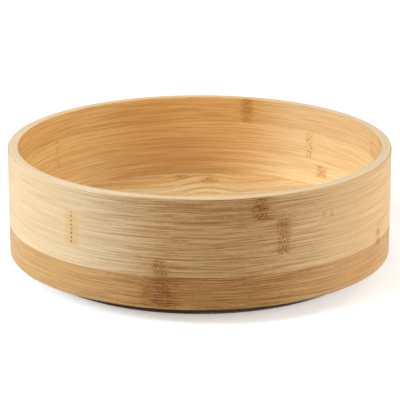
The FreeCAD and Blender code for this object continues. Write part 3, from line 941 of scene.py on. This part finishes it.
@dataclass(frozen=True)
class Lacquer:
    """Dark satin lacquer on a board, thin at its edges.

    outer_radius is the board's, and worn_edge is how far in from it the lacquer starts to
    thin and is thin, in millimetres. rub_levels are those of the mottling between which
    the edge looks rubbed.
    """

    name: str
    outer_radius: float
    worn_edge: Span = (1.4, 0.2)
    colour: Colour = srgb(76, 56, 32)
    thin: Colour = srgb(112, 81, 44)
    rough: float = 0.42
    relief: float = 0.04
    gloss: float = 0.12
    rub_levels: Span = (0.52, 0.70)

    def material(self) -> bpy.types.Material:
        """Builds the lacquer's material.

        Returns:
            The material.
        """
        shader = Shader(self.name)
        grain = shader.solid_noise((0.02, 0.5, 0.5), 1.0, 3.0)
        mottle = shader.solid_noise(0.05, 4.0, 3.0)
        orange_peel = shader.solid_noise(0.8, 8.0)
        start, full = (self.outer_radius - inwards for inwards in self.worn_edge)
        edge = shader.smooth(shader.distance(shader.x, shader.y), start, full)
        rub = edge * shader.smooth(mottle, *self.rub_levels)
        paint = shader.mix(grain * 0.35, self.colour, self.thin)
        paint = shader.mix(rub * 0.4, paint, self.thin)
        return shader.surface(paint, self.rough + mottle * 0.16,
                              orange_peel * 0.6 + grain * 0.4, self.relief,
                              Specular_IOR_Level=self.gloss)


@dataclass(frozen=True)
class PlatedSteel:
    """Zinc-plated steel, dulled and lightly marked by handling.

    The levels are those of the noise between which its bloom and its scuffs appear.
    """

    name: str
    colour: Colour = srgb(196, 198, 200)
    dull: Colour = srgb(150, 152, 152)
    rough: float = 0.30
    relief: float = 0.02
    bloom_levels: Span = (0.35, 0.7)
    scuff_levels: Span = (0.62, 0.72)

    def material(self) -> bpy.types.Material:
        """Builds the plating's material.

        Returns:
            The material.
        """
        shader = Shader(self.name)
        bloom = shader.solid_noise(0.09, 1.0, 4.0, 0.6)
        grit = shader.solid_noise(2.5, 6.0)
        scuff = shader.smooth(shader.solid_noise((0.12, 1.9, 1.9), 9.0), *self.scuff_levels)
        paint = shader.mix(shader.smooth(bloom, *self.bloom_levels), self.colour, self.dull)
        return shader.surface(paint, self.rough + bloom * 0.16 + scuff * 0.14,
                              grit * 0.5 + scuff * 0.5, self.relief, Metallic=1.0)


@dataclass(frozen=True)
class PolishedSteel:
    """Ground and polished bearing balls with a thin film of grease.

    The levels are those of the film between which it tints and dulls the steel.
    """

    name: str
    colour: Colour = srgb(214, 214, 216)
    grease: Colour = srgb(176, 166, 140)
    rough: float = 0.07
    relief: float = 0.01
    tint_levels: Span = (0.5, 0.75)
    dull_levels: Span = (0.45, 0.7)

    def material(self) -> bpy.types.Material:
        """Builds the balls' material.

        Returns:
            The material.
        """
        shader = Shader(self.name)
        film = shader.solid_noise(0.5, 2.0, 3.0)
        tint = shader.smooth(film, *self.tint_levels)
        dull = shader.smooth(film, *self.dull_levels)
        paint = shader.mix(tint * 0.3, self.colour, self.grease)
        return shader.surface(paint, self.rough + dull * 0.16, film, self.relief, Metallic=1.0)


@dataclass(frozen=True)
class Moulded:
    """A moulded part with a fine skin, such as nylon or rubber.

    dust_levels are those of the noise between which dust tints it.
    """

    name: str
    colour: Colour
    dust: Colour
    rough: float
    relief: float
    dust_levels: Span = (0.45, 0.8)

    def material(self) -> bpy.types.Material:
        """Builds the moulding's material.

        Returns:
            The material.
        """
        shader = Shader(self.name)
        cloud = shader.solid_noise(0.25, 3.0, 3.0)
        skin = shader.solid_noise(3.0, 5.0)
        dusty = shader.smooth(cloud, *self.dust_levels)
        paint = shader.mix(dusty * 0.5, self.colour, self.dust)
        return shader.surface(paint, self.rough + cloud * 0.12, skin, self.relief)


@dataclass(frozen=True)
class DriedGlue:
    """Wood glue that has dried to a dull amber line.

    deep_levels are those of the noise between which its deep tone appears.
    """

    name: str = "dried_glue"
    colour: Colour = srgb(226, 184, 124)
    deep: Colour = srgb(204, 158, 98)
    rough: float = 0.45
    relief: float = 0.03
    deep_levels: Span = (0.35, 0.65)

    def material(self) -> bpy.types.Material:
        """Builds the glue's material.

        Returns:
            The material.
        """
        shader = Shader(self.name)
        cloud = shader.solid_noise((0.15, 0.15, 0.6), 3.0, 3.0)
        paint = shader.mix(shader.smooth(cloud, *self.deep_levels), self.colour, self.deep)
        return shader.surface(paint, self.rough + cloud * 0.2, cloud, self.relief)


# --------------------------------------------------------------------------- pieces

def dress(material: bpy.types.Material, *nodes: str) -> None:
    """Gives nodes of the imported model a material.

    Args:
        material: The material.
        nodes: The nodes' names.
    """
    for name in nodes:
        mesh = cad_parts[name].data
        mesh.materials.clear()
        mesh.materials.append(material)
        LOG.info("%s: %s", name, material.name)


def numbered(stem: str) -> list[str]:
    """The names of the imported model's nodes that start with a stem, in order."""
    return sorted(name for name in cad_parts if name.startswith(stem))


def top_of(node: str) -> float:
    """The level of a node's top."""
    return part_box(node)[1][2]


def bottom_of(node: str) -> float:
    """The level of a node's underside."""
    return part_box(node)[0][2]


def reach_of(node: str) -> float:
    """A round node's outside radius."""
    low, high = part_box(node)
    return (high[0] - low[0]) / 2


def add_piece(name: str, form: bmesh.types.BMesh, material: bpy.types.Material, body: str) -> bpy.types.Object:
    """Turns a bmesh into a piece that rides on a body.

    Args:
        name: The piece's name.
        form: Its shape, which is freed.
        material: Its material.
        body: The body it moves with.

    Returns:
        The new object.
    """
    bmesh.ops.recalc_face_normals(form, faces=form.faces)
    mesh = bpy.data.meshes.new(name)
    form.to_mesh(mesh)
    form.free()
    mesh.materials.append(material)
    piece = bpy.data.objects.new(name, mesh)
    bpy.context.scene.collection.objects.link(piece)
    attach(piece, body)
    LOG.info("%s: rides on %s", name, body)
    return piece


def spun(profile: list[Span], steps: int) -> bmesh.types.BMesh:
    """A closed ring: an outline in the plane of X and Z, spun about Z.

    Args:
        profile: The outline's corners, each a radius and a level.
        steps: How many flats there are round it.

    Returns:
        The ring.
    """
    form = bmesh.new()
    corners = [form.verts.new((radius, 0.0, level)) for radius, level in profile]
    edges = [form.edges.new((a, b)) for a, b in zip(corners, corners[1:] + corners[:1])]
    bmesh.ops.spin(form, geom=corners + edges, cent=(0, 0, 0), axis=(0, 0, 1),
                   angle=math.tau, steps=steps, use_merge=True)
    return form


@dataclass
class Tray:
    """The bamboo tray: the two plies of its wall, its floor, and the glue between them.

    ply is a ply's thickness, and glue the gap between them. The glue line is glue_depth
    deep, lies rim_inset below the rim, and keeps ply_room from both plies. The bead is as
    wide as it is high, hollowed to bead_hollow of that, and keeps wall_room from the wall.
    flats is how many flats both have round them.
    """

    ply: float = 4.0 * MM
    glue: float = 0.1 * MM
    glue_depth: float = 1.2 * MM
    rim_inset: float = 0.06 * MM
    ply_room: float = 0.01 * MM
    bead: float = 0.45 * MM
    bead_hollow: float = 0.4
    wall_room: float = 0.02 * MM
    flats: int = 256

    def build(self) -> None:
        """Dresses the tray's nodes and adds its glue lines."""
        self.dress_wall()
        dress(FloorBamboo().material(), "tray_floor")
        glue = DriedGlue().material()
        self.glue_line(glue)
        self.floor_bead(glue)

    def dress_wall(self) -> None:
        """Gives each ply its own strips and knuckles."""
        bottom = bottom_of("wall_outer_ply") / MM
        outer = BentBamboo("bamboo_outer", OUTER_STRIPS, OUTER_KNUCKLES, seed=2.0,
                           face_radius=reach_of("wall_outer_ply") / MM, bottom=bottom)
        # The inner ply takes its painted shade at the back and its painted sheen on the right, with no bolder
        # grain.
        inner = BentBamboo("bamboo_inner", INNER_STRIPS, INNER_KNUCKLES, seed=71.0,
                           face_radius=self.inner_radius() / MM, bottom=bottom, calm=0.42,
                           shaded_contrast=0.0, shaded_angle=92.0, shade_tint=(0.97, 0.88, 0.83), painted_sheen=35.0,
                           sheen_from=0.0)
        dress(outer.material(), "wall_outer_ply")
        dress(inner.material(), "wall_inner_ply")

    def inner_radius(self) -> float:
        """The radius of the wall's inner face."""
        return reach_of("wall_outer_ply") - 2 * self.ply - self.glue

    def glue_line(self, material: bpy.types.Material) -> bpy.types.Object:
        """The glue between the plies, as it shows along the rim.

        Args:
            material: The glue's material.

        Returns:
            The ring of glue.
        """
        outside = reach_of("wall_outer_ply") - self.ply - self.ply_room
        inside = outside - self.glue + 2 * self.ply_room
        high = top_of("wall_outer_ply") - self.rim_inset
        low = high - self.glue_depth
        ring = spun([(inside, low), (outside, low), (outside, high), (inside, high)],
                    self.flats)
        return add_piece("ply_glue_line", ring, material, "tray")

    def floor_bead(self, material: bpy.types.Material) -> bpy.types.Object:
        """The small bead of glue in the corner between floor and wall.

        Args:
            material: The glue's material.

        Returns:
            The bead.
        """
        wall, floor = self.inner_radius(), top_of("tray_floor")
        hollow = self.bead * self.bead_hollow
        ring = spun([(wall - self.bead, floor), (wall - self.wall_room, floor),
                     (wall - self.wall_room, floor + self.bead),
                     (wall - hollow, floor + hollow)], self.flats)
        return add_piece("floor_glue_bead", ring, material, "tray")


@dataclass
class Bearing:
    """The flat ball bearing: plates, balls, cage, pivot and the plates' screws."""

    def build(self) -> None:
        """Dresses the bearing's nodes."""
        dress(PlatedSteel("zinc_plate").material(), "bearing_upper_plate",
              "bearing_lower_plate")
        dress(PlatedSteel("screw_zinc", srgb(186, 188, 186), srgb(140, 142, 140),
                          rough=0.34).material(),
              "upper_plate_screws", "lower_plate_screws", "foot_screws")
        dress(PlatedSteel("rivet_steel", srgb(170, 170, 168), srgb(128, 128, 126),
                          rough=0.36).material(), "pivot_rivet")
        balls = [name for name in numbered("ball_") if name != "ball_cage"]
        dress(PolishedSteel("ball_steel").material(), *balls)
        dress(Moulded("nylon", srgb(228, 224, 210), srgb(206, 198, 176), rough=0.42,
                      relief=0.02).material(), "ball_cage", "pivot_bush", "pivot_washer")


@dataclass
class Base:
    """The board that stands on its rubber feet."""

    def build(self) -> None:
        """Dresses the board and its feet."""
        dress(Lacquer("dark_lacquer", reach_of("base_disc") / MM).material(), "base_disc")
        dress(Moulded("foot_rubber", srgb(38, 38, 38), srgb(74, 72, 68), rough=0.72,
                      relief=0.06).material(), *numbered("rubber_foot_"))


# --------------------------------------------------------------------------- studio

@dataclass(frozen=True)
class Softbox:
    """A rectangular lamp that faces the tray.

    azimuth is in degrees round the tray from the camera's side, positive to the right;
    elevation is above the floor; distance, width and height are metres; power is watts.
    """

    name: str
    azimuth: float
    elevation: float
    distance: float
    width: float
    height: float
    power: float
    colour: Colour


COOL = (0.80, 0.90, 1.0)
NEUTRAL = (0.96, 0.98, 1.0)
WARM = (1.0, 0.95, 0.90)

SOFTBOXES = (
    Softbox("left_key", -75.0, 24.0, 1.6, 0.36, 0.36, 11.0, COOL),
    Softbox("left_low", -60.0, 12.0, 1.3, 0.8, 0.8, 8.0, COOL),
    Softbox("left_high", -70.0, 42.0, 1.3, 0.8, 0.8, 8.5, NEUTRAL),
    Softbox("left_back", -95.0, 17.0, 1.6, 0.36, 0.36, 1.5, COOL),
    Softbox("right_low", 70.0, 12.0, 1.3, 0.8, 0.8, 14.0, NEUTRAL),
    Softbox("right_back", 105.0, 12.0, 1.3, 0.8, 0.8, 1.0, COOL),
    Softbox("right_high", 105.0, 42.0, 1.3, 0.8, 0.8, 4.5, WARM),
    Softbox("overhead", 0.0, 84.0, 1.2, 0.4, 0.4, 1.0, WARM),
    Softbox("underneath", 0.0, -90.0, 1.2, 0.4, 0.4, 5.0, NEUTRAL),
)


@dataclass
class Studio:
    """A pale floor, soft lamps and the camera.

    elevation, distance and side place the camera, in degrees and metres; lens and sensor
    are its millimetres; sight is how far it sees. Lamps and camera face aim_level above
    the table. The floor is painted in floor_tones, glows by near_glow, and fades to white
    over white_from, in millimetres from the middle. fill lights the surroundings by
    fill_strength.
    """

    elevation: float = 17.4
    distance: float = 1.5
    side: float = 0.3 * MM
    lens: float = 183.0
    sensor: float = 36.0
    sight: float = 50.0
    aim_level: float = 46.0 * MM
    floor_radius: float = 6.0
    floor_sides: int = 96
    floor_tones: tuple[Colour, Colour] = (srgb(250, 250, 250), srgb(246, 246, 246))
    floor_rough: float = 0.8
    near_glow: Colour = (0.4, 0.4, 0.4)
    white_from: Span = (300.0, 1100.0)
    white: Colour = (1.0, 1.0, 1.0)
    fill: Colour = (1.0, 0.8, 0.5)
    fill_strength: float = 0.1

    def build(self) -> None:
        """Sets up the whole studio."""
        self.floor()
        self.world()
        for box in SOFTBOXES:
            self.lamp(box)
        self.camera()
        bpy.context.scene.view_settings.view_transform = "Standard"

    def floor(self) -> None:
        """Lays the floor under the feet: lit near the tray, white further out.

        It is see-through from below, so that the underside can be looked at.
        """
        form = bmesh.new()
        bmesh.ops.create_circle(form, cap_ends=True, segments=self.floor_sides,
                                radius=self.floor_radius)
        mesh = bpy.data.meshes.new("floor")
        form.to_mesh(mesh)
        form.free()
        shader = Shader("studio_floor")
        cloud = shader.flat_noise(shader.x, shader.y, (0.01, 0.01), 1.0)
        paint = shader.mix(cloud, *self.floor_tones)
        far = shader.smooth(shader.distance(shader.x, shader.y), *self.white_from)
        glow = shader.mix(far, self.near_glow, self.white)
        below = shader.node("ShaderNodeNewGeometry").outputs["Backfacing"]
        mesh.materials.append(shader.surface(paint, self.floor_rough, clear=below,
                                             Emission_Color=glow, Emission_Strength=1.0))
        floor = bpy.data.objects.new("floor", mesh)
        floor.visible_diffuse = False
        floor.visible_shadow = False
        bpy.context.scene.collection.objects.link(floor)

    def world(self) -> None:
        """Fills the surroundings with a little warm light, and shows them white."""
        world = bpy.data.worlds.new("studio")
        world.use_nodes = True
        nodes = Nodes(world.node_tree)
        fill = nodes.node("ShaderNodeBackground",
                          inputs={"Color": self.fill, "Strength": self.fill_strength})
        shown = nodes.node("ShaderNodeBackground", inputs={"Color": self.white})
        ray = nodes.node("ShaderNodeLightPath").outputs["Is Camera Ray"]
        both = nodes.node("ShaderNodeMixShader",
                          inputs={0: ray, 1: fill.outputs[0], 2: shown.outputs[0]})
        nodes.node("ShaderNodeOutputWorld", inputs={"Surface": both.outputs[0]})
        bpy.context.scene.world = world

    def lamp(self, box: Softbox) -> None:
        """Hangs one lamp, facing the tray.

        Args:
            box: The lamp's place, size and power.
        """
        light = bpy.data.lights.new(box.name, "AREA")
        light.shape = "RECTANGLE"
        light.size, light.size_y = box.width, box.height
        light.energy = box.power
        light.color = box.colour
        lamp = bpy.data.objects.new(box.name, light)
        side, up = math.radians(box.azimuth), math.radians(box.elevation)
        away = Vector((math.sin(side) * math.cos(up), -math.cos(side) * math.cos(up),
                       math.sin(up)))
        lamp.location = away * box.distance + Vector((0, 0, self.aim_level))
        lamp.rotation_mode = "QUATERNION"
        lamp.rotation_quaternion = (-away).to_track_quat("-Z", "Y")
        bpy.context.scene.collection.objects.link(lamp)

    def camera(self) -> None:
        """Places the camera in front of the tray, a little above it."""
        camera = bpy.data.cameras.new("camera")
        camera.lens = self.lens
        camera.sensor_width = self.sensor
        camera.clip_end = self.sight
        eye = bpy.data.objects.new("camera", camera)
        up = math.radians(self.elevation)
        away = Vector((0, -math.cos(up), math.sin(up)))
        eye.location = away * self.distance + Vector((self.side, 0, self.aim_level))
        eye.rotation_euler = (math.pi / 2 - up, 0, 0)
        bpy.context.scene.collection.objects.link(eye)
        bpy.context.scene.camera = eye


def main() -> None:
    """Builds the turntable's sub-assemblies in order, then the studio."""
    logging.basicConfig(level=logging.INFO, format="%(name)s: %(message)s")
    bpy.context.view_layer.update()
    for assembly in (Tray(), Bearing(), Base(), Studio()):
        LOG.info("building %s", type(assembly).__name__)
        assembly.build()


if __name__ == "__main__":
    main()
